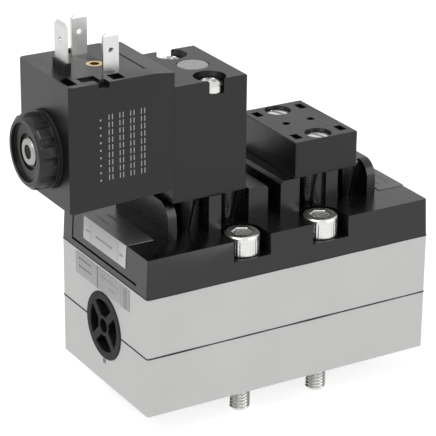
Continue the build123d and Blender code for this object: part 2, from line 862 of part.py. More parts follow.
with BuildPart() as pilot_nozzle:
    with BuildSketch(across(nozzle_x)):
        with Locations((0, axis_z)):
            Circle(nozzle_r)
    extrude(amount=nozzle_length)
    with BuildSketch(across(nozzle_x)):
        with Locations((0, axis_z)):
            Circle(nozzle_nose_r)
    extrude(amount=-nozzle_nose)
    with BuildSketch(across(nozzle_x - nozzle_nose)):
        with Locations((0, axis_z)):
            Circle(nozzle_hole_r)
    extrude(amount=nozzle_nose + nozzle_length, mode=Mode.SUBTRACT)
write(pilot_nozzle.part, "pilot_nozzle")

# Solenoid set on the coil's axis
with BuildPart() as armature_tube:
    with BuildSketch(across(-coil_left)):
        with Locations((0, axis_z)):
            Circle(tube_r)
    extrude(amount=coil_length + tube_reach)
    with BuildSketch(across(-pilot_left)):
        with Locations((0, axis_z)):
            Circle(tube_collar_r)
    extrude(amount=tube_collar)
    with BuildSketch(across(-coil_left)):
        with Locations((0, axis_z)):
            Circle(tube_inner_r)
    extrude(amount=coil_length + tube_reach, mode=Mode.SUBTRACT)
write(armature_tube.part, "armature_tube")

with BuildPart() as fixed_core:
    with BuildSketch(across(-coil_left)):
        with Locations((0, axis_z)):
            Circle(tube_inner_r - core_fit)
    extrude(amount=coil_left + core_right)
    with BuildSketch(across(-coil_left)):
        with Locations((0, axis_z)):
            Circle(stem_r)
    extrude(amount=-stem_length)
    chamfer(faces().sort_by(Axis.X)[0].edges(), length=0.4)
    with BuildSketch(across(-coil_left - stem_length)):
        with Locations((0, axis_z)):
            Circle(stem_socket_r)
    extrude(amount=stem_socket_depth, mode=Mode.SUBTRACT)
write(fixed_core.part, "fixed_core")

with BuildPart() as armature:
    with BuildSketch(across(armature_left)):
        with Locations((0, axis_z)):
            Circle(tube_inner_r - armature_gap)
    extrude(amount=armature_length)
    with BuildSketch(across(armature_left)):
        with Locations((0, axis_z)):
            Circle(armature_bore_r)
    extrude(amount=armature_bore_depth, mode=Mode.SUBTRACT)
    with BuildSketch(across(armature_right - armature_seat_thickness)):
        with Locations((0, axis_z)):
            Circle(armature_seat_r)
    extrude(amount=armature_seat_thickness, mode=Mode.SUBTRACT)
write(armature.part, "armature")

with BuildPart() as armature_seat:
    with BuildSketch(across(armature_right - armature_seat_thickness)):
        with Locations((0, axis_z)):
            Circle(armature_seat_r)
    extrude(amount=armature_seat_thickness)
write(armature_seat.part, "armature_seat")

armature_spring = coil_spring(
    Plane(origin=(core_right, 0, axis_z), z_dir=(1, 0, 0)),
    armature_left + armature_bore_depth - core_right,
    armature_coil_r,
    armature_wire_r,
    armature_turns,
)
write(armature_spring, "armature_spring")

# Magnet set, potted in the coil's moulding
yoke_left = -coil_left + coil_skin
yoke_right = -pilot_left - coil_skin
bobbin_left = yoke_left + yoke_plate
bobbin_right = yoke_right - yoke_plate

with BuildPart() as coil_yoke:
    with BuildSketch(Plane.XZ.offset(-yoke_half_width)):
        with Locations(((yoke_left + yoke_right) / 2, axis_z + (yoke_top - yoke_bottom) / 2)):
            Rectangle(yoke_right - yoke_left, yoke_top + yoke_bottom)
        with Locations(((yoke_left + yoke_right) / 2, axis_z + (yoke_top - yoke_bottom) / 2 - yoke_plate)):
            Rectangle(bobbin_right - bobbin_left, yoke_top + yoke_bottom, mode=Mode.SUBTRACT)
    extrude(amount=2 * yoke_half_width)
    with BuildSketch(across(yoke_left)):
        with Locations((0, axis_z)):
            Circle(coil_bore_r)
    extrude(amount=yoke_right - yoke_left, mode=Mode.SUBTRACT)
write(coil_yoke.part, "coil_yoke")

with BuildPart() as coil_bobbin:
    with BuildSketch(across(bobbin_left)):
        with Locations((0, axis_z)):
            Circle(coil_bore_r + bobbin_wall)
    extrude(amount=bobbin_right - bobbin_left)
    for flange_x in (bobbin_left, bobbin_right - bobbin_flange):
        with BuildSketch(across(flange_x)):
            with Locations((0, axis_z)):
                Circle(winding_r)
        extrude(amount=bobbin_flange)
    with BuildSketch(across(bobbin_left)):
        with Locations((0, axis_z)):
            Circle(coil_bore_r)
    extrude(amount=bobbin_right - bobbin_left, mode=Mode.SUBTRACT)
write(coil_bobbin.part, "coil_bobbin")

with BuildPart() as coil_winding:
    with BuildSketch(across(bobbin_left + bobbin_flange)):
        with Locations((0, axis_z)):
            Circle(winding_r)
            Circle(coil_bore_r + bobbin_wall, mode=Mode.SUBTRACT)
    extrude(amount=bobbin_right - bobbin_left - 2 * bobbin_flange)
write(coil_winding.part, "coil_winding")

yoke_top_z = axis_z + yoke_top
contact_base_z = coil_left_top - contact_root
contact_top_z = coil_left_top + contact_height
ground_top_z = coil_left_top + ground_height


def contact_blade(width, thickness_plane, bottom_z, top_z):
    """Flat blade with a tapered tip and a locking hole, standing on a plane across its thickness."""
    with BuildPart() as blade:
        with BuildSketch(thickness_plane):
            with Locations((0, (bottom_z + top_z) / 2)):
                Rectangle(width, top_z - bottom_z)
            chamfer(vertices().group_by(Axis.Y)[-1], length=contact_tip)
            with Locations((0, top_z - contact_hole_drop)):
                Circle(contact_hole_r, mode=Mode.SUBTRACT)
        extrude(amount=contact_thickness / 2, both=True)
        tip_face = blade.faces().sort_by(Axis.Z)[-1]
        tip_edges = tip_face.edges().sort_by(SortBy.LENGTH)[-2:]
        chamfer(tip_edges, length=contact_thickness / 3, length2=contact_bevel_rise, reference=tip_face)
    return blade.part


front_plane = Plane(origin=(contact_x, -contact_spacing / 2, 0), x_dir=(1, 0, 0), z_dir=(0, -1, 0))
rear_plane = Plane(origin=(contact_x, contact_spacing / 2, 0), x_dir=(1, 0, 0), z_dir=(0, -1, 0))
ground_plane = Plane(origin=(ground_x, 0, 0), x_dir=(0, 1, 0), z_dir=(1, 0, 0))
front_blade = contact_blade(contact_width, front_plane, contact_base_z, contact_top_z)
rear_blade = contact_blade(contact_width, rear_plane, contact_base_z, contact_top_z)
ground_blade = contact_blade(ground_width, ground_plane, yoke_top_z, ground_top_z)
write(front_blade, "front_blade")
write(rear_blade, "rear_blade")
write(ground_blade, "ground_blade")

with BuildPart() as plug_insert:
    with BuildSketch(Plane.XY.offset(coil_left_top - insert_length)):
        with Locations((contact_x, 0)):
            Circle(insert_r)
    extrude(amount=insert_length)
    with BuildSketch(Plane.XY.offset(coil_left_top)):
        with Locations((contact_x, 0)):
            Circle(insert_thread_r)
    extrude(amount=-insert_hole_depth, mode=Mode.SUBTRACT)
write(plug_insert.part, "plug_insert")

# Coil moulding: tapered block, plug seat with relief pockets, cavity for the magnet set
with BuildPart() as coil_housing:
    with BuildSketch(Plane.XZ.offset(-coil_half_width)):
        with BuildLine():
            Polyline(
                (-coil_left, coil_left_bottom),
                (-pilot_left, coil_right_bottom),
                (-pilot_left, coil_right_top),
                (seat_line_x, coil_left_top),
                (-coil_left, coil_left_top),
                close=True,
            )
        make_face()
    extrude(amount=2 * coil_half_width)
    end_edges = edges().filter_by(Axis.Z).group_by(Axis.X)[0]
    chamfer(end_edges, length=coil_edge)
    with BuildSketch(Plane.XY.offset(coil_left_top)):
        with Locations((ground_x, 0)):
            Rectangle(contact_thickness + 2 * ground_shoulder_wall, ground_width + 2 * ground_shoulder_wall)
    extrude(amount=ground_shoulder)
    with BuildSketch(across(-coil_left)):
        with Locations((0, axis_z)):
            Circle(coil_bore_r)
    extrude(amount=coil_length, mode=Mode.SUBTRACT)
    for potted in (coil_yoke.part, coil_bobbin.part, coil_winding.part, front_blade, rear_blade, ground_blade):
        add(potted, mode=Mode.SUBTRACT)
    with BuildSketch(Plane.XY.offset(coil_left_top - insert_length)):
        with Locations((contact_x, 0)):
            Circle(insert_r)
    extrude(amount=insert_length, mode=Mode.SUBTRACT)
    with BuildSketch(Plane.XY.offset(coil_left_top)):
        with Locations((-coil_left + seat_pocket_inset, -coil_half_width * 0.65)):
            Rectangle(seat_pocket_length, seat_pocket_width)
    extrude(amount=-seat_pocket_depth, mode=Mode.SUBTRACT)
    with BuildSketch(Plane.XY.offset(coil_left_top)):
        with Locations((-coil_left + seat_channel_inset, -coil_half_width * 0.7)):
            Rectangle(seat_channel_length, seat_channel_width)
    extrude(amount=-seat_channel_depth, mode=Mode.SUBTRACT)
    with BuildSketch(Plane.XY.offset(coil_left_top)):
        with Locations((-coil_left + seat_corner_inset, seat_corner_width / 2 - coil_half_width)):
            Rectangle(seat_corner_length, seat_corner_width)
    extrude(amount=-seat_corner_depth, mode=Mode.SUBTRACT)
    with BuildSketch(Plane.XY.offset(coil_left_top)):
        with Locations((contact_x, 0)):
            with GridLocations(0, contact_spacing + 2 * (blade_pocket_width / 2 + contact_thickness), 1, 2):
                Rectangle(blade_pocket_length, blade_pocket_width)
    extrude(amount=-blade_pocket_depth, mode=Mode.SUBTRACT)
    with BuildSketch(Plane.XY.offset(coil_left_top)):
        with Locations((seat_line_x - 0.5, 2.5)):
            Rectangle(seat_line_width, 2 * coil_half_width - 5)
    extrude(amount=-seat_line_depth, mode=Mode.SUBTRACT)
write(coil_housing.part, "coil_housing")

with BuildPart() as coil_seals:
    for seal_x, seal_direction in ((-coil_left, -1),):
        with BuildSketch(across(seal_x)):
            with Locations((0, axis_z)):
                Circle(coil_seal_r)
                Circle(coil_seal_hole_r, mode=Mode.SUBTRACT)
        extrude(amount=seal_direction * coil_seal_thickness)
write(coil_seals.part, "coil_seals")

nut_back_x = -coil_left - coil_seal_thickness
nut_front_x = nut_back_x - nut_flange - nut_grip - nut_chamfer

with BuildPart() as coil_nut:
    with BuildSketch(across(nut_back_x)):
        with Locations((0, axis_z)):
            Circle(nut_flange_r)
    extrude(amount=-nut_flange)
    with BuildSketch(across(nut_back_x - nut_flange)):
        with Locations((0, axis_z)):
            Circle(nut_grip_r)
    extrude(amount=-(nut_grip + nut_chamfer))
    chamfer(faces().sort_by(Axis.X)[0].edges(), length=nut_chamfer, length2=nut_grip_r - nut_face_r)
    with BuildSketch(across(nut_back_x - nut_flange)):
        with Locations((0, axis_z)):
            with PolarLocations(nut_grip_r + nut_flute_r - nut_flute_depth, nut_flutes):
                Circle(nut_flute_r)
    extrude(amount=-(nut_grip + nut_chamfer), mode=Mode.SUBTRACT)
    with BuildSketch(across(nut_front_x)):
        with Locations((0, axis_z)):
            Circle(nut_face_r - nut_rim)
    extrude(amount=nut_recess, mode=Mode.SUBTRACT)
    with BuildSketch(across(nut_front_x + nut_recess)):
        with Locations((0, axis_z)):
            Circle(nut_hub_r)
    extrude(amount=nut_hub_recess, mode=Mode.SUBTRACT)
    with BuildSketch(across(nut_front_x)):
        with Locations((0, axis_z)):
            Circle(stem_r + running_gap)
    extrude(amount=nut_back_x - nut_front_x, mode=Mode.SUBTRACT)
write(coil_nut.part, "coil_nut")

# Blanking side
with BuildPart() as blanking_gasket:
    with BuildSketch(Plane.XY.offset(pad_top_z)):
        with Locations((blank_mid_x, 0)):
            Rectangle(blank_length, 2 * blank_half_width)
        with Locations((blank_axis_x, 0)):
            with GridLocations(0, 2 * interface_screw_y, 1, 2):
                Circle(interface_screw_r + interface_screw_gap, mode=Mode.SUBTRACT)
    extrude(amount=interface_gasket)
write(blanking_gasket.part, "blanking_gasket")

with BuildPart() as blanking_block:
    with BuildSketch(Plane.XY.offset(block_bottom_z)):
        with Locations((blank_mid_x, 0)):
            RectangleRounded(blank_length, 2 * blank_half_width, 0.4)
    extrude(amount=blank_height)
    chamfer(faces().sort_by(Axis.Z)[-1].edges(), length=0.25)
    with BuildSketch(Plane.XY.offset(blank_top_z)):
        with Locations((blank_axis_x, 0)):
            with GridLocations(0, 2 * interface_screw_y, 1, 2):
                Circle(cheese_bore_r)
    extrude(amount=-cheese_bore_depth, mode=Mode.SUBTRACT)
    with BuildSketch(Plane.XY.offset(block_bottom_z)):
        with Locations((blank_axis_x, 0)):
            with GridLocations(0, 2 * interface_screw_y, 1, 2):
                Circle(interface_screw_r + interface_screw_gap)
    extrude(amount=blank_height, mode=Mode.SUBTRACT)
    with BuildSketch(Plane.XY.offset(blank_top_z)):
        with Locations((blank_mid_x, 0)):
            with GridLocations(2 * corner_slot_x, 2 * corner_slot_y, 2, 2):
                Rectangle(corner_slot_width, corner_slot_length)
    extrude(amount=-corner_slot_depth, mode=Mode.SUBTRACT)
    with BuildSketch(Plane.XY.offset(blank_top_z)):
        with Locations((blank_mid_x, 0)):
            with GridLocations(2 * interface_port_x, 0, 2, 1):
                Circle(top_hole_r)
    extrude(amount=-top_hole_depth, mode=Mode.SUBTRACT)
write(blanking_block.part, "blanking_block")

cheese_seat_z = blank_top_z - cheese_bore_depth

with BuildPart() as blanking_screws:
    with BuildSketch(Plane.XY.offset(pad_top_z - interface_screw_grip)):
        with Locations((blank_axis_x, 0)):
            with GridLocations(0, 2 * interface_screw_y, 1, 2):
                Circle(interface_screw_r)
    extrude(amount=cheese_seat_z - pad_top_z + interface_screw_grip)
    with BuildSketch(Plane.XY.offset(cheese_seat_z)):
        with Locations((blank_axis_x, 0)):
            with GridLocations(0, 2 * interface_screw_y, 1, 2):
                Circle(cheese_head_r)
    extrude(amount=cheese_head_height)
    chamfer(faces().group_by(Axis.Z)[-1].edges(), length=0.4)
    with BuildSketch(Plane.XY.offset(cheese_seat_z + cheese_head_height)):
        with Locations((blank_axis_x, 0)):
            with GridLocations(0, 2 * interface_screw_y, 1, 2):
                Rectangle(cheese_slot_width, 2 * cheese_head_r, rotation=20)
    extrude(amount=-cheese_slot_depth, mode=Mode.SUBTRACT)
write(blanking_screws.part, "blanking_screws")
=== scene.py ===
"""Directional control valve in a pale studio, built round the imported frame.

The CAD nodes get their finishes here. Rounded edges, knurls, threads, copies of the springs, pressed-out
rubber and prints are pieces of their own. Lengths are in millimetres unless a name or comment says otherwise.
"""

import json
import math

import bmesh
import bpy
import numpy as np
from mathutils import Matrix, Vector

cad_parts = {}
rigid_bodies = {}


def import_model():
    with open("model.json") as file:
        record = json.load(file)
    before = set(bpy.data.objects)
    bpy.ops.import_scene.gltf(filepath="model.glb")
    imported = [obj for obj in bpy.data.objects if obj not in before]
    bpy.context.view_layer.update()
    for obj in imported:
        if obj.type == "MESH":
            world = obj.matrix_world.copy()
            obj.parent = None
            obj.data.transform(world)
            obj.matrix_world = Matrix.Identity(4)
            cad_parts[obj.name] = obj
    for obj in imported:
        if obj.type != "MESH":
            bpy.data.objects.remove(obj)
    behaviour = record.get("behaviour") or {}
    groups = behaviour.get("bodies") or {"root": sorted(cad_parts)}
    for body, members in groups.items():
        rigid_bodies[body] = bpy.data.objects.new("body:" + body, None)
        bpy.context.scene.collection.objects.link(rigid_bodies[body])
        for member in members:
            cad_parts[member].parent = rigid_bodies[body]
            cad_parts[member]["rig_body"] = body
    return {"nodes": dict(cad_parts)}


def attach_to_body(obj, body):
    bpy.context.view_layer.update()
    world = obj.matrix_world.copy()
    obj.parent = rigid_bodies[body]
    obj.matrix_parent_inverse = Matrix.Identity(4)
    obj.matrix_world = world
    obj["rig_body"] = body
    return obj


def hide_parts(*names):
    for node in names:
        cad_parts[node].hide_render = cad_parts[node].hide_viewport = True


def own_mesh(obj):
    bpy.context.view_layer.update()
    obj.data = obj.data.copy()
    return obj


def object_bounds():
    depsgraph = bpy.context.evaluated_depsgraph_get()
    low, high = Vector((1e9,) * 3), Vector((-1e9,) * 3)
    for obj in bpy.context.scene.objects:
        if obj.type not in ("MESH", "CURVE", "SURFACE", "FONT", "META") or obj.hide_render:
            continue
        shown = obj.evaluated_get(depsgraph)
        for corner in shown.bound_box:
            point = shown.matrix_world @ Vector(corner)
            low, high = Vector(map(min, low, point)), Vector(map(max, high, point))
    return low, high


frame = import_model()
cad_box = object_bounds()
nodes = frame["nodes"]
MM = 0.001
scene = bpy.context.scene


# Helpers for materials
def linear(hex_colour):
    """sRGB hex to linear RGBA: channel c goes to ((c + 0.055) / 1.055) ** 2.4, or c / 12.92 near black."""
    channels = [int(hex_colour[i : i + 2], 16) / 255 for i in (1, 3, 5)]
    return tuple(c / 12.92 if c <= 0.04045 else ((c + 0.055) / 1.055) ** 2.4 for c in channels) + (1.0,)


def add_node(tree, kind, settings=None, **inputs):
    """Adds one shader node.

    An input is named for its socket, with _ for a space, or i and the socket's number.
    """
    node = tree.nodes.new("ShaderNode" + kind)
    for key, value in (settings or {}).items():
        setattr(node, key, value)
    for key, value in inputs.items():
        by_number = key[0] == "i" and key[1:].isdigit()
        socket = node.inputs[int(key[1:]) if by_number else key.replace("_", " ")]
        if isinstance(value, bpy.types.NodeSocket):
            tree.links.new(value, socket)
        else:
            socket.default_value = value
    return node


def new_material(name, **sockets):
    """A Principled material with its plain values set on the shader's own sockets."""
    material = bpy.data.materials.new(name)
    material.use_nodes = True
    shader = material.node_tree.nodes["Principled BSDF"]
    for key, value in sockets.items():
        shader.inputs[key.replace("_", " ")].default_value = value
    return material, material.node_tree, shader


def surface_noise(tree, size_mm, detail, roughness=0.5):
    """Noise in object coordinates, 0 to 1, in patches of about that size."""
    coords = add_node(tree, "TexCoord")
    factor = 1.0 / (size_mm * MM)
    points = add_node(tree, "Mapping", Vector=coords.outputs["Object"], Scale=(factor, factor, factor))
    noise = add_node(
        tree, "TexNoise", Vector=points.outputs["Vector"], Scale=1.0, Detail=detail, Roughness=roughness
    )
    return noise.outputs["Fac"]


def blend(tree, factor, first, second):
    """Colour that goes from first to second as factor goes from 0 to 1."""
    return add_node(tree, "Mix", {"data_type": "RGBA"}, i0=factor, i6=first, i7=second).outputs[2]


def add_bump(tree, shader, height, depth_mm):
    """Tilts the shader's normal as if height 0 to 1 stood depth_mm tall, on top of any bump it has."""
    socket = shader.inputs["Normal"]
    bump = add_node(tree, "Bump", Height=height, Distance=depth_mm * MM, Strength=1.0)
    if socket.is_linked:
        tree.links.new(socket.links[0].from_socket, bump.inputs["Normal"])
    tree.links.new(bump.outputs["Normal"], socket)


def add_grain(tree, shader, size_mm, depth_mm, smoothest, roughest):
    """Fine grain of a mould, a blast or a cut: one noise drives a bump and a small spread of roughness."""
    noise = surface_noise(tree, size_mm, detail=3.0, roughness=0.6)
    add_bump(tree, shader, noise, depth_mm)
    spread = add_node(
        tree, "MapRange", Value=noise, From_Min=0.3, From_Max=0.7, To_Min=smoothest, To_Max=roughest
    )
    tree.links.new(spread.outputs["Result"], shader.inputs["Roughness"])


def finish(name, grain, colour=None, tones=None, waves=None, **sockets):
    """One procedural finish, of the layers that its surface has.

    grain: (its size, its depth, least roughness, most roughness).
    colour: one even hex colour, or else tones: (darker hex, lighter hex, patch size), which slowly change.
    waves: (their length, lean), a shallow waviness that tilts reflections by about that many radians.
    """
    material, tree, shader = new_material(name, **sockets)
    if tones:
        darker, lighter, patch_mm = tones
        patches = surface_noise(tree, patch_mm, detail=4.0, roughness=0.55)
        tree.links.new(blend(tree, patches, linear(darker), linear(lighter)), shader.inputs["Base Color"])
    else:
        shader.inputs["Base Color"].default_value = linear(colour)
    add_grain(tree, shader, *grain)
    if waves:
        wave_mm, lean = waves
        add_bump(tree, shader, surface_noise(tree, wave_mm, detail=1.0), wave_mm * lean)
    return material


def enamelled_copper():
    """Enamelled copper wire in layers: ridges a wire's width apart, round the coil's axis."""
    material, tree, shader = new_material(
        "enamelled_copper", Base_Color=linear("#A8562E"), Roughness=0.3, Metallic=1.0
    )
    wire_mm, ridge_mm = 0.5, 0.12
    one_wave = 0.314  # the node's wave runs 20 radians a unit, so this makes one wave of each wire
    coords = add_node(tree, "TexCoord")
    along_axis = (1 / (wire_mm * MM), 0.0, 0.0)
    lay = add_node(tree, "Mapping", Vector=coords.outputs["Object"], Scale=along_axis)
    ridges = add_node(
        tree, "TexWave", {"wave_type": "BANDS", "bands_direction": "X", "wave_profile": "SIN"},
        Vector=lay.outputs["Vector"], Scale=one_wave,
    )
    add_bump(tree, shader, ridges.outputs["Fac"], ridge_mm)
    return material


def folded_label_film():
    """Printed polyester film over the cover's end: white on the drop; on the top a dark grey field, partly
    print and partly painted shade of the coil above it.
    """
    material, tree, shader = new_material("folded_label_film")
    place = add_node(tree, "SeparateXYZ", Vector=add_node(tree, "TexCoord").outputs["Object"])
    white_top, grey_field_foot = 46.32 * MM, 46.4 * MM
    on_top = add_node(
        tree, "MapRange", Value=place.outputs["Z"], From_Min=white_top, From_Max=grey_field_foot
    )
    # Painted shade: the top field's greys are darker than the print alone, standing in for the coil's shadow
    # over the label
    printed_and_shaded_field = blend(tree, surface_noise(tree, 7.0, detail=2.0), linear("#2E2E2E"), linear("#5A5A5A"))
    both = blend(tree, on_top.outputs["Result"], linear("#DADADA"), printed_and_shaded_field)
    tree.links.new(both, shader.inputs["Base Color"])
    add_grain(tree, shader, 0.9, 0.006, 0.26, 0.36)
    return material


# Materials: what each surface is and how it was made, then what that gives the eye

# Aluminium die casting, bead blasted: an even satin grey, with a fine grit that only shows as softness. It is
# half metallic, because a blasted skin scatters more than it mirrors.
casting = finish(
    "blasted_die_casting", tones=("#BFBFBE", "#C7C7C6", 14.0), grain=(0.35, 0.015, 0.50, 0.62), Metallic=0.55
)
# Injection moulded glass-filled nylon, dyed black: glossy skin, slightly wavy where the fibres lie
nylon = finish(
    "glass_filled_nylon", tones=("#040404", "#080808", 9.0), grain=(0.6, 0.0025, 0.22, 0.32),
    waves=(6.0, 0.012),
)
# Black polyester from a spark-eroded mould: even matt skin
polyester = finish(
    "textured_polyester", tones=("#040404", "#080808", 11.0), grain=(0.3, 0.010, 0.32, 0.41),
    waves=(9.0, 0.008), Specular_IOR_Level=0.4,
)
# Black polyamide moulded round the winding: satin skin with slow flow marks
polyamide = finish(
    "overmoulded_polyamide", tones=("#040404", "#080808", 12.0), grain=(0.4, 0.01, 0.31, 0.40),
    waves=(10.0, 0.01), Specular_IOR_Level=0.4,
)
# Black acetal, moulded: smooth, slightly waxy shine
acetal = finish("black_acetal", colour="#0B0B0B", grain=(0.8, 0.012, 0.33, 0.43), Specular_IOR_Level=0.4)
# Black nylon from a worn mould, as on the end plugs: duller and softer than the cover
plug_nylon = finish(
    "filled_rubbery_nylon", tones=("#050505", "#090909", 4.0), grain=(0.5, 0.015, 0.50, 0.62),
    Specular_IOR_Level=0.22,
)
# Light grey acetal, moulded, with the faint swirls that the gate leaves
button_grey = finish("grey_acetal", tones=("#7C7C7B", "#9C9C9A", 1.6), grain=(0.5, 0.012, 0.36, 0.46))
# Undyed acetal, moulded: milky, waxy
natural = finish("natural_acetal", colour="#D8D6CC", grain=(0.6, 0.01, 0.36, 0.46))
# Moulded nitrile rubber: dull black with a soft bloom
rubber = finish("nitrile_rubber", tones=("#101010", "#171717", 5.0), grain=(0.4, 0.02, 0.70, 0.82))
# Cold headed steel, bright zinc plated: nearly white metal with soft reflections
zinc = finish(
    "zinc_plated_steel", tones=("#C6C6C3", "#E6E6E3", 1.8), grain=(0.25, 0.005, 0.22, 0.36), Metallic=1.0
)
# Turned ferritic stainless steel: grey metal with a fine, even tool finish
stainless = finish("turned_stainless", colour="#9C9B98", grain=(0.3, 0.008, 0.26, 0.40), Metallic=1.0)
# Drawn stainless spring wire: bright, with fine die marks
wire = finish("spring_steel", colour="#A9A9A6", grain=(0.2, 0.004, 0.26, 0.36), Metallic=1.0)
# Stamped brass with a tin plate: pale soft metal, a little cloudy
tin = finish(
    "tin_plated_brass", tones=("#C2C2C0", "#DADAD8", 3.0), grain=(0.3, 0.006, 0.26, 0.40), Metallic=1.0
)
# Turned brass, a little dulled
brass = finish("turned_brass", colour="#C9B27C", grain=(0.3, 0.006, 0.20, 0.34), Metallic=1.0)
copper = enamelled_copper()
# Pressed and bent low-carbon steel, plain zinc: dull grey metal
steel = finish("pressed_steel", colour="#9D9D9B", grain=(0.5, 0.01, 0.36, 0.5), Metallic=1.0)
# Turned and hard anodised aluminium: darker, even grey
anodised = finish("anodised_aluminium", colour="#8F9092", grain=(0.3, 0.006, 0.26, 0.38), Metallic=1.0)
label_film = folded_label_film()
# Printed polyester film with a grey ground: semi-gloss, faintly uneven
film = finish("grey_film", tones=("#A2A2A2", "#B0B0B0", 6.0), grain=(0.9, 0.006, 0.30, 0.42))
# Pad-printed ink, pale grey and a little broken where the plastic's skin shows through
pale_ink = finish("pale_print", tones=("#8E8E8E", "#C2C2C2", 0.5), grain=(0.3, 0.006, 0.55, 0.68))
# Screen-printed ink, dark grey on film
dark_ink = finish("dark_print", tones=("#404040", "#585858", 0.8), grain=(0.4, 0.004, 0.45, 0.58))
# Screen-printed ink, thin enough that the film shows through
faint_ink = finish("faint_print", tones=("#848484", "#9A9A9A", 0.8), grain=(0.4, 0.004, 0.40, 0.52))

for material, node_names in (
    (casting, "lower_body upper_body"),
    (nylon, "cover"),
    (polyester, "pilot_block blanking_block"),
    (polyamide, "coil_housing coil_bobbin"),
    (acetal, "coil_nut pilot_piston spring_cup"),
    (plug_nylon, "left_end_plug right_end_plug"),
    (button_grey, "manual_override"),
    (natural, "bore_spacers"),
    (rubber, "base_seal body_gasket cover_gasket pilot_gasket blanking_gasket end_plug_seals"),
    (rubber, "bore_seals piston_seal override_seal armature_seat coil_seals"),
    (zinc, "body_screws pilot_screws blanking_screws"),
    (stainless, "fixed_core armature armature_tube"),
    (wire, "return_spring armature_spring override_spring"),
    (tin, "front_blade rear_blade ground_blade"),
    (brass, "plug_insert pilot_nozzle"),
    (copper, "coil_winding"),
    (steel, "coil_yoke"),
    (anodised, "spool"),
    (film, "body_label"),
    (label_film, "left_cover_label right_cover_label"),
):
    for node_name in node_names.split():
        node_materials = nodes[node_name].data.materials
        node_materials.clear()
        node_materials.append(material)


# Pieces that stand in for a CAD node, as copies of it
WELD_DISTANCE = 1e-6  # metres; the CAD's mesh has doubled points along its edges
FLAT_ANGLE = math.radians(0.6)
SHARP_ANGLE = math.radians(28.0)


def attach(piece, node_name, stands_in=False):
    """Lets a piece move with a CAD node's body and, if it stands in, hides that node."""
    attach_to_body(piece, nodes[node_name]["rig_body"])
    if stands_in:
        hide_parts(node_name)


def welded_copy(node_name, suffix, join_flats=False):
    """Object with a copy of a CAD node's mesh: doubled points merged and, if asked, flat areas joined."""
    mesh = nodes[node_name].data.copy()
    mesh.name = node_name + suffix
    form = bmesh.new()
    form.from_mesh(mesh)
    bmesh.ops.remove_doubles(form, verts=form.verts, dist=WELD_DISTANCE)
    if join_flats:
        bmesh.ops.dissolve_limit(
            form, angle_limit=FLAT_ANGLE, verts=form.verts, edges=form.edges, delimit={"NORMAL"}
        )
    form.to_mesh(mesh)
    form.free()
    piece = bpy.data.objects.new(node_name + suffix, mesh)
    scene.collection.objects.link(piece)
    return piece


def rounded_copy(node_name, width_mm):
    """Copy of a CAD node whose sharp edges a live Bevel rounds."""
    piece = welded_copy(node_name, "_rounded", join_flats=True)
    piece.data.shade_smooth()
    piece.data.set_sharp_from_angle(angle=SHARP_ANGLE)
    bevel = piece.modifiers.new("edge round", "BEVEL")
    bevel.width = width_mm * MM
    bevel.segments = 2
    bevel.limit_method = "ANGLE"
    bevel.angle_limit = SHARP_ANGLE
    bevel.harden_normals = True
    bevel.use_clamp_overlap = True
    attach(piece, node_name, stands_in=True)


def shortening_spring(node_name):
    """Copy of a spring, in its CAD node's place, that moves with that node's body."""
    piece = welded_copy(node_name, "_live")
    attach(piece, node_name, stands_in=True)
    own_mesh(piece)


for node_name, width_mm in (
    ("upper_body", 0.35),
    ("lower_body", 0.35),
    ("cover", 0.25),
    ("pilot_block", 0.25),
    ("blanking_block", 0.25),
    ("coil_nut", 0.2),
    ("left_end_plug", 0.3),
    ("right_end_plug", 0.3),
    ("coil_housing", 0.35),
):
    rounded_copy(node_name, width_mm)

shortening_spring("return_spring")
shortening_spring(
    "armature_spring"
)
shortening_spring(
    "override_spring"
)


# Pieces made from surfaces
def finished_mesh(name, points_mm, faces, material, node_name, stands_in=False, sharp_degrees=32.0):
    """A piece of those points and faces, smooth except at edges sharper than sharp_degrees."""
    mesh = bpy.data.meshes.new(name)
    mesh.from_pydata((np.asarray(points_mm) * MM).tolist(), [], faces)
    mesh.validate()
    mesh.shade_smooth()
    mesh.set_sharp_from_angle(angle=math.radians(sharp_degrees))
    mesh.materials.append(material)
    piece = bpy.data.objects.new(name, mesh)
    scene.collection.objects.link(piece)
    attach(piece, node_name, stands_in)


def full_turn(columns):
    """Angles of that many points evenly round a circle."""
    return 2 * np.pi * np.arange(columns) / columns


def grid_quads(rows, columns, closed=False):
    """Quads between the points of a grid that closes round its columns and, if closed, round its rows."""
    row, column = np.meshgrid(np.arange(rows if closed else rows - 1), np.arange(columns), indexing="ij")
    row_after, column_after = (row + 1) % rows, (column + 1) % columns
    corners = [(row, column), (row, column_after), (row_after, column_after), (row_after, column)]
    return np.stack([r * columns + c for r, c in corners], axis=-1).reshape(-1, 4)


def turned_surface(radius, height, centres):
    """Closed surfaces round upright axes: point (i, k) = centre + (r cos t, r sin t, z).

    t = 2 pi k / columns, and radius and height hold r and z, in rows by columns. A single point closes the
    first and the last row.
    """
    rows, columns = radius.shape
    t = full_turn(columns)
    shell = np.stack([radius * np.cos(t), radius * np.sin(t), height], axis=-1).reshape(-1, 3)
    poles = np.array([[0, 0, height[0].mean()], [0, 0, height[-1].mean()]])
    one = np.vstack([shell, poles])
    low_pole, high_pole = rows * columns, rows * columns + 1
    k = np.arange(columns)
    k_after = (k + 1) % columns
    last_row = (rows - 1) * columns
    low_fan = np.stack([np.full(columns, low_pole), k_after, k], axis=-1)
    high_fan = np.stack([np.full(columns, high_pole), last_row + k, last_row + k_after], axis=-1)
    quads = grid_quads(rows, columns)
    points, faces = [], []
    for index, (x, y) in enumerate(centres):
        points.append(one + np.array([x, y, 0.0]))
        shift = index * len(one)
        faces += (quads + shift).tolist() + (low_fan + shift).tolist() + (high_fan + shift).tolist()
    return np.vstack(points), faces


def zigzag(turns):
    """|2 frac(turns) - 1|: down from 1 to 0 and back up to 1 over each whole turn."""
    return np.abs(2 * (turns % 1.0) - 1.0)


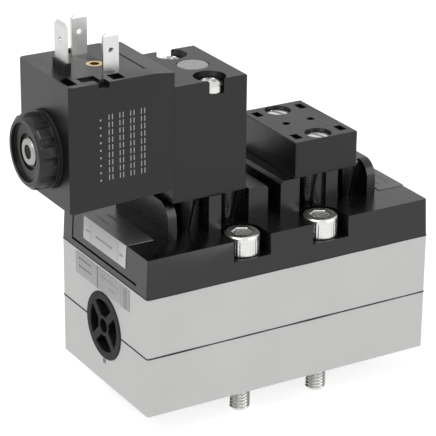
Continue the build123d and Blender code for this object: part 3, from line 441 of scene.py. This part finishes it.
def hexagon_radius(t, across_flats):
    """Distance from the axis to a hexagon's side: half its width over cos of the angle to that side."""
    return across_flats / 2 / np.cos((t + np.pi / 6) % (np.pi / 3) - np.pi / 6)


def knurled_cap_screws(centres):
    """Socket head screws with a knurled head, a rolled thread on the end and a hexagon socket.

    Knurl: r = 4.98 - 0.12 w zigzag(36 t / 2 pi), where w fades it in and out along the head's side.
    Thread: r = 2.94 - 0.58 f min(1.15 zigzag(z / pitch - t / 2 pi), 1), where f fades it in from the tip.
    """
    columns, knurls, knurl_depth = 180, 36, 0.12
    pitch, thread_start, thread_end, thread_step = 1.0, -7.15, 1.01, 0.125
    crest_r, thread_depth, steepness, fade_start, fade_length = 2.94, 0.58, 1.15, -7.3, 0.5
    t = full_turn(columns)
    knurl = knurl_depth * zigzag(knurls * t / (2 * np.pi))
    thread_z = np.arange(thread_start, thread_end, thread_step)
    groove = zigzag(thread_z[:, None] / pitch - t[None, :] / (2 * np.pi))
    fade_in = np.clip((thread_z[:, None] - fade_start) / fade_length, 0, 1)
    thread_r = crest_r - thread_depth * np.clip(steepness * groove, 0, 1) * fade_in
    socket = hexagon_radius(t, across_flats=5.0)
    # Each row is a radius, one or all round, and a height: tip, thread, shank and the head's underside
    rows = [(1.2, -7.8), (2.25, -7.8), (2.6, -7.45), *zip(thread_r, thread_z)]
    rows += [(2.65, 1.2), (2.65, 40.25), (3.0, 40.3), (4.7, 40.3), (4.9, 40.42)]
    # Knurled side, rounded rim and flat top
    side = ((40.55, 0.3), (40.9, 1), (42.2, 1), (43.5, 1), (44.7, 1), (45.1, 0.4))
    rows += [(4.98 - knurl * w, z) for z, w in side]
    rows += [(4.97, 45.45), (4.93, 45.75), (4.75, 46.08), (4.5, 46.24), (4.2, 46.3), (3.5, 46.3)]
    # Rounded mouth, walls and drilled bottom of the socket
    rows += [(socket + 0.28, 46.28), (socket + 0.08, 46.16), (socket, 45.95), (socket, 43.3)]
    rows += [(2.2, 43.1), (0.6, 42.4)]
    radius = np.array([r * np.ones(columns) for r, z in rows])
    height = np.array([z * np.ones(columns) for r, z in rows])
    points, faces = turned_surface(radius, height, centres)
    finished_mesh(
        "knurled_cap_screws", points, faces, zinc, "body_screws", stands_in=True, sharp_degrees=40.0
    )


def bar(across, half_width, wall):
    """1 inside a bar and 0 outside it, with a slope as wide as wall just inside each side."""
    return np.clip((half_width - np.abs(across)) / wall, 0, 1)


def cross_recess(u, v):
    """Depth of a cross recess: the larger of two crossed bars, with steep sides and sloping ends."""
    depth, half_width, wall, half_length, end_slope = 1.3, 0.52, 0.14, 2.15, 0.5
    along_u = bar(v, half_width, wall) * bar(u, half_length, end_slope)
    along_v = bar(u, half_width, wall) * bar(v, half_length, end_slope)
    return depth * np.maximum(along_u, along_v)


def slot_recess(u, v):
    """Depth of a slot: one bar right across, the same for every u."""
    depth, half_width, wall = 1.1, 0.5, 0.1
    return depth * bar(v, half_width, wall)


def recessed_head_screws(name, node_name, centres, seat_z, crown_z, head_r, crown, recess, turn_degrees):
    """Screws with a domed head: z = crown_z - crown (r / head_r)^3 - recess(u, v).

    u and v are level coordinates from the screw's axis, turned about it by turn_degrees.
    """
    tip_z, tip_r, tip_chamfer, shank_r, rim, lip = 48.1, 1.4, 0.5, 1.95, 0.12, 0.05
    columns, rings, middle_r = 144, 46, 0.08
    t = full_turn(columns)
    ring = np.linspace(head_r, middle_r, rings)[:, None]
    u = ring * np.cos(t - math.radians(turn_degrees))
    v = ring * np.sin(t - math.radians(turn_degrees))
    face_r = np.repeat(ring, columns, axis=1)
    face_z = crown_z - crown * np.clip(ring / head_r, 0, 1) ** 3 - recess(u, v)
    flat = np.ones((1, columns))
    side = [(tip_r, tip_z), (shank_r, tip_z + tip_chamfer), (shank_r, seat_z)]
    side += [(head_r - rim, seat_z), (head_r, seat_z + rim)]
    edge_z = np.minimum(face_z[:1], crown_z - crown) - lip
    radius = np.vstack([r * flat for r, z in side] + [head_r * flat, face_r])
    height = np.vstack([z * flat for r, z in side] + [edge_z, face_z])
    points, faces = turned_surface(radius, height, centres)
    finished_mesh(name, points, faces, zinc, node_name, stands_in=True, sharp_degrees=40.0)


def pressed_out_bead(name, node_name, height, radius, plug_half=None):
    """Thin bead where a gasket is pressed out of its joint: a circle carried along a rounded rectangle.

    Point (i, k) = path(i) + r (cos t outwards + sin t upwards), with
    r = radius (1 + 0.2 sin 0.21x sin(0.083x + 1)) and t = 2 pi k / columns.
    With plug_half the path is two half loops that stop that far from the end plugs' axis. The second is the
    first turned by half a turn.
    """
    half_x, half_y, corner = 45.74, 24.94, 0.8
    columns, corner_points, front_points = 10, 7, 81
    centre_x, centre_y = half_x - corner, half_y - corner
    quarter = np.radians(np.linspace(0, 90, corner_points))
    left_turn, right_turn = np.pi + quarter, 1.5 * np.pi + quarter
    left_out = np.stack([np.cos(left_turn), np.sin(left_turn)], axis=-1)
    right_out = np.stack([np.cos(right_turn), np.sin(right_turn)], axis=-1)
    front_x = np.linspace(-centre_x, centre_x, front_points)[1:-1]
    front = np.stack([front_x, np.full(len(front_x), -half_y)], axis=-1)
    front_out = np.tile([0.0, -1.0], (len(front_x), 1))
    left = np.array([-centre_x, -centre_y]) + corner * left_out
    right = np.array([centre_x, -centre_y]) + corner * right_out
    path, outwards = np.vstack([left, front, right]), np.vstack([left_out, front_out, right_out])
    closed = plug_half is None
    if closed:
        path, outwards = np.vstack([path, -path]), np.vstack([outwards, -outwards])
    else:
        path = np.vstack([[[-half_x, -plug_half]], path, [[half_x, -plug_half]]])
        outwards = np.vstack([[[-1.0, 0.0]], outwards, [[1.0, 0.0]]])
    rows = len(path)
    t = full_turn(columns)
    r = radius * (1 + 0.2 * np.sin(0.21 * path[:, 0]) * np.sin(0.083 * path[:, 0] + 1))
    level = path[:, None, :] + (r[:, None] * np.cos(t))[..., None] * outwards[:, None, :]
    rise = height + r[:, None] * np.sin(t)
    tube = np.concatenate([level, rise[..., None]], axis=-1).reshape(-1, 3)
    facing_out = [0, 3, 2, 1]
    faces = grid_quads(rows, columns, closed)[:, facing_out].tolist()
    if not closed:
        faces += [list(range(columns)), list(range(rows * columns - 1, (rows - 1) * columns - 1, -1))]
        other_half = [[point + len(tube) for point in face] for face in faces]
        tube, faces = np.vstack([tube, tube * [-1, -1, 1]]), faces + other_half
    finished_mesh(name, tube, faces, rubber, node_name, sharp_degrees=60.0)


knurled_cap_screws([(x, y) for x in (-12.75, 12.75) for y in (-19.0, 19.0)])
pressed_out_bead("body_gasket_bead", "body_gasket", height=17.5, radius=0.24, plug_half=10.1)
pressed_out_bead("cover_gasket_bead", "cover_gasket", height=35.15, radius=0.2)
recessed_head_screws(
    "cross_recess_screws", "pilot_screws", [(-18.6, -10.6), (-18.6, 10.6)],
    seat_z=85.6, crown_z=88.6, head_r=3.6, crown=1.1, recess=cross_recess, turn_degrees=25.0,
)
recessed_head_screws(
    "slotted_screws", "blanking_screws", [(16.8, -10.6), (16.8, 10.6)],
    seat_z=63.4, crown_z=66.3, head_r=3.5, crown=0.3, recess=slot_recess, turn_degrees=110.0,
)


# Prints: flat marks lying just off the surface that carries them
def printed_bars(name, node_name, origin, along, up, lift, bars, ink):
    """Flat bars on a plane: corner = origin + a along + b up + lift normal, at each bar's (a, b) ends."""
    along, up = np.array(along, float), np.array(up, float)
    normal = np.cross(along, up)
    spans = np.array(bars, float)
    a = spans[:, [0, 2, 2, 0]]
    b = spans[:, [1, 1, 3, 3]]
    corners = np.array(origin, float) + a[..., None] * along + b[..., None] * up + lift * normal
    faces = np.arange(len(bars) * 4).reshape(-1, 4).tolist()
    finished_mesh(name, corners.reshape(-1, 3), faces, ink, node_name)


def dash_row(start, count, length, gap, low, high, upright=False):
    """Equal bars one after the other, between low and high across the row, which runs along or upright."""
    ends = np.cumsum(np.full(count, length) + gap) - gap
    begins = ends - length
    if upright:
        return [(low, start + p, high, start + q) for p, q in zip(begins, ends)]
    return [(start + p, low, start + q, high) for p, q in zip(begins, ends)]


# Coil's front: a row of dots and four double rows of dashes, all running upwards
PRINT_FOOT_Z = 67.5
coil_bars = dash_row(PRINT_FOOT_Z, 9, 0.5, 1.6, -54.2, -53.7, upright=True)
for row_x in (-51.6, -48.4, -45.2, -42.0):
    for low_x in (row_x, row_x + 1.0):
        coil_bars += dash_row(PRINT_FOOT_Z, 9, 1.5, 0.6, low_x, low_x + 0.28, upright=True)
printed_bars(
    "coil_print_dashes", "coil_housing", origin=(0.0, -15.0, 0.0), along=(1, 0, 0), up=(0, 0, 1), lift=0.03,
    bars=coil_bars, ink=pale_ink,
)

# Body label: a divider, two rows of dashes behind it, a simple line figure and a darker band in front
BODY_LABEL = dict(node_name="body_label", origin=(-46.0, 0.0, 0.0), along=(0, -1, 0), up=(0, 0, 1), lift=0.02)
printed_bars("body_label_divider", bars=[(-3.45, 27.8, -3.05, 34.2)], ink=dark_ink, **BODY_LABEL)
label_dashes = dash_row(-14.4, 6, 0.9, 0.4, 32.6, 33.1) + dash_row(-14.4, 6, 0.9, 0.4, 30.2, 30.7)
printed_bars("body_label_dashes", bars=label_dashes, ink=dark_ink, **BODY_LABEL)
figure_bars = [(-1.6, 32.6, 0.6, 32.9), (0.6, 31.6, 0.9, 33.4), (0.9, 32.3, 4.4, 32.6)]
figure_bars += [(4.4, 31.6, 4.7, 33.4), (4.7, 32.0, 8.4, 32.3), (8.4, 30.4, 8.7, 32.6)]
figure_bars += [(-0.4, 30.9, -0.1, 32.6), (10.2, 28.0, 10.45, 33.9)]
figure_bars += dash_row(3.2, 4, 0.7, 0.4, 29.8, 30.4)
printed_bars("body_label_figure", bars=figure_bars, ink=faint_ink, **BODY_LABEL)
printed_bars("body_label_band", bars=[(11.7, 27.9, 14.1, 34.1)], ink=faint_ink, **BODY_LABEL)

# Cover labels: cells of dashes on the drop and four plain bars on the top; both ends carry the same
DRAFT = math.radians(3.0)
COVER_FOOT_X, COVER_FOOT_Z, LABEL_FOOT_Z, LABEL_THICKNESS = 45.8, 35.3, 39.7, 0.2
LABEL_TOP_X, LABEL_TOP_Z = 41.0, 46.5
label_foot_x = COVER_FOOT_X - (LABEL_FOOT_Z - COVER_FOOT_Z) * math.tan(DRAFT) + LABEL_THICKNESS
cell_bars = [(-7.6, 0.5, -7.45, 6.0), (8.0, 0.5, 8.15, 6.0)] + dash_row(-10.2, 2, 0.7, 0.3, 2.7, 3.3)
cell_bars += dash_row(-4.6, 7, 1.0, 0.4, 2.7, 3.3) + dash_row(9.2, 2, 0.7, 0.3, 2.7, 3.3)
top_bars = [(-1.9, -9.0, -1.1, -2.0), (-1.9, 2.2, -1.1, 9.2), (1.4, -9.0, 1.8, -2.0), (1.4, 2.2, 1.8, 9.2)]
for word, side in (("left", -1), ("right", 1)):
    label = word + "_cover_label"
    printed_bars(
        word + "_label_cells", label, origin=(side * label_foot_x, 0.0, LABEL_FOOT_Z), along=(0, side, 0),
        up=(-side * math.sin(DRAFT), 0, math.cos(DRAFT)), lift=0.03, bars=cell_bars, ink=faint_ink,
    )
    printed_bars(
        word + "_label_top_marks", label, origin=(side * LABEL_TOP_X, 0.0, LABEL_TOP_Z), along=(side, 0, 0),
        up=(0, side, 0), lift=0.02, bars=top_bars, ink=dark_ink,
    )

# Studio; its lengths are in metres
WHITE = (1, 1, 1, 1)
FLOOR_RADIUS = 3.0
FLOOR_GLOW = 0.78
ROOM_AS_LIGHT, ROOM_AS_SEEN = 0.5, 1.0


def seen_by_eye(tree):
    """1 for rays that show a thing straight, mirrored or through glass, 0 for rays that only gather light."""
    rays = add_node(tree, "LightPath").outputs
    larger = {"operation": "MAXIMUM"}
    mirrored = add_node(tree, "Math", larger, i0=rays["Is Glossy Ray"], i1=rays["Is Transmission Ray"])
    return add_node(tree, "Math", larger, i0=mirrored.outputs[0], i1=rays["Is Camera Ray"]).outputs[0]


def pale_floor():
    """A large disc under the part that glows evenly where it is seen, so that it meets the pale room."""
    underside_z = cad_box[0][2]
    bpy.ops.mesh.primitive_circle_add(
        vertices=96, radius=FLOOR_RADIUS, fill_type="NGON", location=(0, 0, underside_z)
    )
    floor = bpy.context.object
    floor.name = "studio_floor"
    material, tree, shader = new_material(
        "pale_floor", Base_Color=linear("#A8A8A8"), Roughness=0.9, Emission_Color=WHITE
    )
    glow = add_node(tree, "Math", {"operation": "MULTIPLY"}, i0=seen_by_eye(tree), i1=FLOOR_GLOW)
    tree.links.new(glow.outputs[0], shader.inputs["Emission Strength"])
    floor.data.materials.append(material)


def pale_room():
    """White all round, and dimmer as light on the part than as seen."""
    world = bpy.data.worlds.new("studio_world")
    world.use_nodes = True
    scene.world = world
    tree = world.node_tree
    background = tree.nodes["Background"]
    level = add_node(tree, "MapRange", Value=seen_by_eye(tree), To_Min=ROOM_AS_LIGHT, To_Max=ROOM_AS_SEEN)
    background.inputs["Color"].default_value = WHITE
    tree.links.new(level.outputs["Result"], background.inputs["Strength"])


def soft_light(name, place, size, watts):
    """Square area lamp at place, turned to face the part."""
    target = Vector((0, 0, 0.04))
    lamp = bpy.data.lights.new(name, "AREA")
    lamp.size = size
    lamp.energy = watts
    lamp_object = bpy.data.objects.new(name, lamp)
    scene.collection.objects.link(lamp_object)
    lamp_object.location = place
    lamp_object.rotation_euler = (target - Vector(place)).to_track_quat("-Z", "Y").to_euler()


def product_camera():
    """The camera that was solved on the object's edges in the photo."""
    sensor_mm, focal_px, photo_px = 36.0, 2163.5, 436
    place = (-0.29815, -0.48421, 0.27761)  # metres
    azimuth, elevation, roll = math.radians(-30.83), math.radians(22.63), math.radians(0.6)
    data = bpy.data.cameras.new("product_camera")
    data.sensor_width = sensor_mm
    data.lens = focal_px / photo_px * sensor_mm
    data.clip_start = 0.01
    camera = bpy.data.objects.new("product_camera", data)
    scene.collection.objects.link(camera)
    level = math.cos(elevation)
    forwards = Vector((-math.sin(azimuth) * level, math.cos(azimuth) * level, -math.sin(elevation)))
    turn = forwards.to_track_quat("-Z", "Y").to_matrix() @ Matrix.Rotation(roll, 3, "Z")
    camera.location = place
    camera.rotation_euler = turn.to_euler()
    scene.camera = camera


pale_floor()
pale_room()
soft_light("key_from_left_above", (-0.55, -0.15, 0.75), size=0.5, watts=5.0)
soft_light("fill_from_front_right", (0.55, -0.75, 0.45), size=0.7, watts=3.0)
product_camera()
scene.view_settings.view_transform = "Standard"
